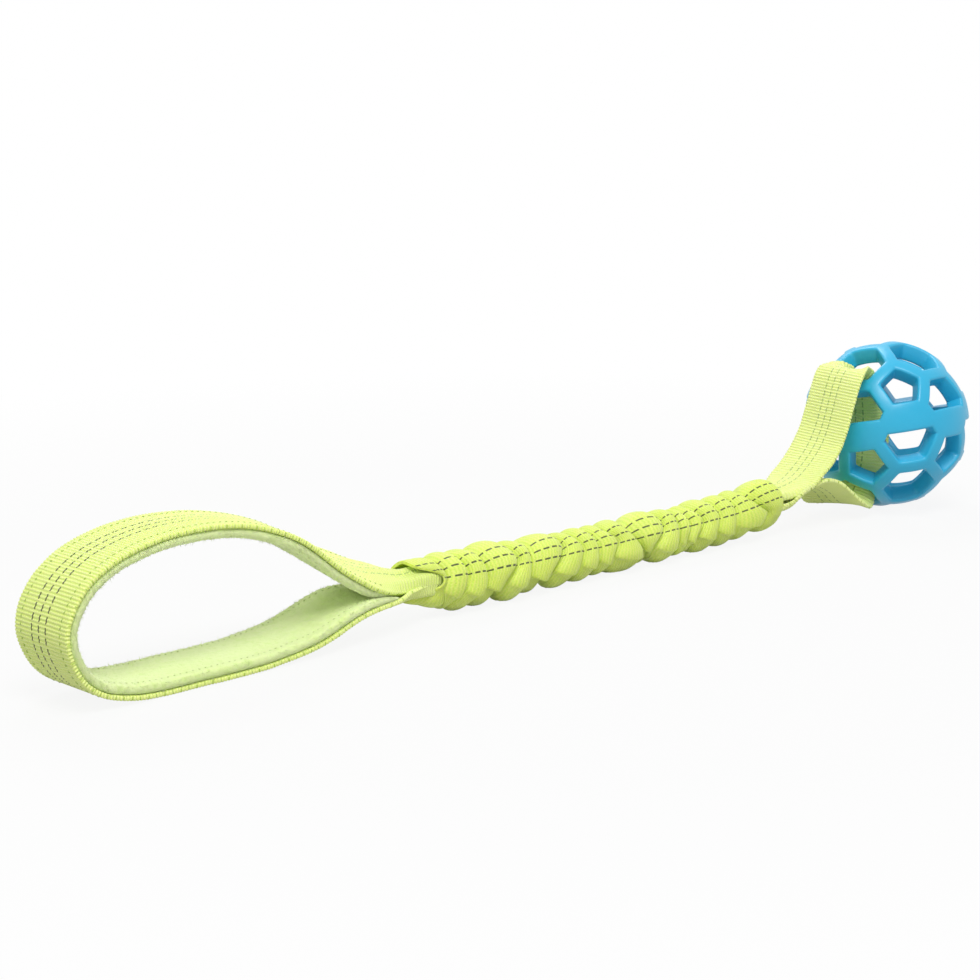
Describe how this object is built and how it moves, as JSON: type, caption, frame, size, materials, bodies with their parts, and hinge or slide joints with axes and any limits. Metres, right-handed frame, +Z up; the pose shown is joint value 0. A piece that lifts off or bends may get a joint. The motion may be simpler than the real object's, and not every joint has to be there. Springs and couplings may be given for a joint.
{
  "type": "bungee tug toy",
  "caption": "Tug toy with a fleece-lined webbing hand loop, a gathered bungee and a webbing strap that runs through a hollow rubber ball.",
  "frame": {"origin": "on the ground under the middle of the toy as it lies", "axes": "+X from the hand loop to the ball, +Y across the webbing, +Z up"},
  "size_m": [0.4559, 0.0698, 0.0699],
  "materials": {
    "yellow_green_webbing": "woven, slightly glossy",
    "pale_fleece": "soft pile",
    "sewing_thread": "twisted thread",
    "white_elastic": "braided elastic",
    "blue_rubber": "satin"
  },
  "bodies": {
    "handle": {"handle_webbing": "yellow_green_webbing", "handle_lining": "pale_fleece", "handle_edge_seam_front": "sewing_thread", "handle_edge_seam_back": "sewing_thread", "handle_end_tack": "sewing_thread"},
    "bungee": {"bungee_sheath": "yellow_green_webbing"},
    "bungee_end": {"elastic_core": "white_elastic"},
    "strap": {"ball_strap": "yellow_green_webbing", "ball_strap_end_tack": "sewing_thread"},
    "ball": {"ball": "blue_rubber"}
  },
  "joints": [
    {"name": "handle_flex", "type": "hinge", "parent": "handle", "child": "bungee", "pos_m": [-0.076, 0, 0.01257], "axis": [0, 1, 0], "range_deg": [-80, 80], "deforming": ["bungee_sheath", "elastic_core"]},
    {"name": "bungee_stretch", "type": "slide", "parent": "bungee", "child": "bungee_end", "axis": [1, 0, 0], "range_m": [0, 0.12], "stiffness_N_per_m": 150, "deforming": ["bungee_sheath", "elastic_core"]},
    {"name": "strap_flex", "type": "hinge", "parent": "bungee_end", "child": "strap", "pos_m": [0.112, 0, 0.01257], "axis": [0, 1, 0], "range_deg": [-60, 60], "deforming": ["bungee_sheath", "elastic_core"]},
    {"name": "ball_swivel", "type": "hinge", "parent": "strap", "child": "ball", "pos_m": [0.176, 0, 0.035], "axis": [0, 0, 1], "range_deg": [-12, 12]}
  ]
}
